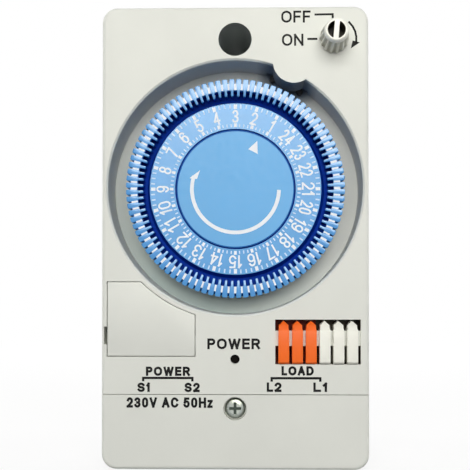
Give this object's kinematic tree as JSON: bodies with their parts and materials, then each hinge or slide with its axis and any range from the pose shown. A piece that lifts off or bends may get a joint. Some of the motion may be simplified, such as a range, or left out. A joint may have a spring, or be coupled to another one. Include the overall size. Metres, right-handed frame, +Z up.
{
  "type": "day time switch",
  "caption": "Wall-mounted day time switch: grey box, blue pin dial turned by a geared motor in a round well, fluted switch knob, spare pin rack and a terminal cover.",
  "frame": {"origin": "middle of the flat back face that goes against the wall", "axes": "+Z up along the tall side, -Y out of the front, +Y into the wall, +X to the right seen from the front"},
  "size_m": [0.06, 0.0558, 0.104],
  "materials": {
    "shell": "fine satin moulding",
    "steel": "plated",
    "brass": "stamped",
    "blue_plastic": "smooth moulding with white print",
    "navy_plastic": "smooth moulding",
    "white_plastic": "smooth moulding",
    "orange_plastic": "smooth moulding",
    "gear_plastic": "natural acetal",
    "black_plastic": "phenolic moulding",
    "lead_cover": "insulated lead",
    "board": "coated laminate",
    "led": "tinted lens"
  },
  "bodies": {
    "case": {"front_case": "shell", "rear_case": "shell", "case_screws": "steel", "backup_cell": "steel", "cell_contacts": "brass", "pointer_disc": "blue_plastic", "center_post": "steel", "motor": "steel", "motor_screws": "steel", "movement_plate": "steel", "plate_screws": "steel", "switch_block": "black_plastic", "moving_contact": "brass", "fixed_contact": "brass", "terminal_block": "black_plastic", "terminal_strips": "brass", "terminal_washers": "brass", "terminal_screws": "steel", "supply_leads": "lead_cover", "load_leads": "lead_cover", "power_board": "board", "board_parts": "black_plastic", "board_screws": "steel", "power_led": "led"},
    "dial": {"dial_hub": "navy_plastic", "dial_ring": "blue_plastic", "scale_disc": "blue_plastic", "dial_gear": "gear_plastic", "clutch_spring": "steel", "retaining_clip": "steel"},
    "intermediate": {"intermediate_gear": "gear_plastic", "intermediate_arbor": "steel"},
    "motor_shaft": {"motor_pinion": "brass"},
    "knob": {"switch_knob": "white_plastic", "switch_shaft": "gear_plastic", "switch_gear": "gear_plastic", "switch_cam": "gear_plastic"},
    "trip": {"trip_star": "gear_plastic", "trip_gear": "gear_plastic"},
    "lid": {"battery_lid": "shell"},
    "cover": {"terminal_cover": "shell", "cover_screw": "steel"},
    "on_pin_1": {"on_pin_1": "orange_plastic"},
    "on_pin_2": {"on_pin_2": "orange_plastic"},
    "on_pin_3": {"on_pin_3": "orange_plastic"},
    "off_pin_1": {"off_pin_1": "white_plastic"},
    "off_pin_2": {"off_pin_2": "white_plastic"},
    "off_pin_3": {"off_pin_3": "white_plastic"}
  },
  "joints": [
    {"name": "dial_turn", "type": "hinge", "parent": "case", "child": "dial", "pos_m": [0, -0.04, 0.0113], "axis": [0, -1, 0], "continuous": true},
    {"name": "intermediate_turn", "type": "hinge", "parent": "case", "child": "intermediate", "pos_m": [0, -0.025, -0.0111], "axis": [0, -1, 0], "continuous": true},
    {"name": "motor_turn", "type": "hinge", "parent": "case", "child": "motor_shaft", "pos_m": [-0.012, -0.025, -0.0111], "axis": [0, -1, 0], "continuous": true},
    {"name": "knob_turn", "type": "hinge", "parent": "case", "child": "knob", "pos_m": [0.0222, -0.04, 0.0446], "axis": [0, -1, 0], "continuous": true, "deforming": ["moving_contact"]},
    {"name": "trip_turn", "type": "hinge", "parent": "case", "child": "trip", "pos_m": [0.01328, -0.04, 0.03953], "axis": [0, -1, 0], "continuous": true, "deforming": ["moving_contact"]},
    {"name": "lid_lift", "type": "slide", "parent": "case", "child": "lid", "axis": [0, -1, 0], "range_m": [0, 0.02]},
    {"name": "cover_lift", "type": "slide", "parent": "case", "child": "cover", "axis": [0, -1, 0], "range_m": [0, 0.06]},
    {"name": "on_pin_1_pull", "type": "slide", "parent": "case", "child": "on_pin_1", "axis": [0, -1, 0], "range_m": [0, 0.015]},
    {"name": "on_pin_2_pull", "type": "slide", "parent": "case", "child": "on_pin_2", "axis": [0, -1, 0], "range_m": [0, 0.015]},
    {"name": "on_pin_3_pull", "type": "slide", "parent": "case", "child": "on_pin_3", "axis": [0, -1, 0], "range_m": [0, 0.015]},
    {"name": "off_pin_1_pull", "type": "slide", "parent": "case", "child": "off_pin_1", "axis": [0, -1, 0], "range_m": [0, 0.015]},
    {"name": "off_pin_2_pull", "type": "slide", "parent": "case", "child": "off_pin_2", "axis": [0, -1, 0], "range_m": [0, 0.015]},
    {"name": "off_pin_3_pull", "type": "slide", "parent": "case", "child": "off_pin_3", "axis": [0, -1, 0], "range_m": [0, 0.015]}
  ],
  "couplings": [
    {"joint": "intermediate_turn", "follows": "dial_turn", "ratio": -6},
    {"joint": "motor_turn", "follows": "dial_turn", "ratio": 24},
    {"joint": "trip_turn", "follows": "knob_turn", "ratio": -1}
  ]
}
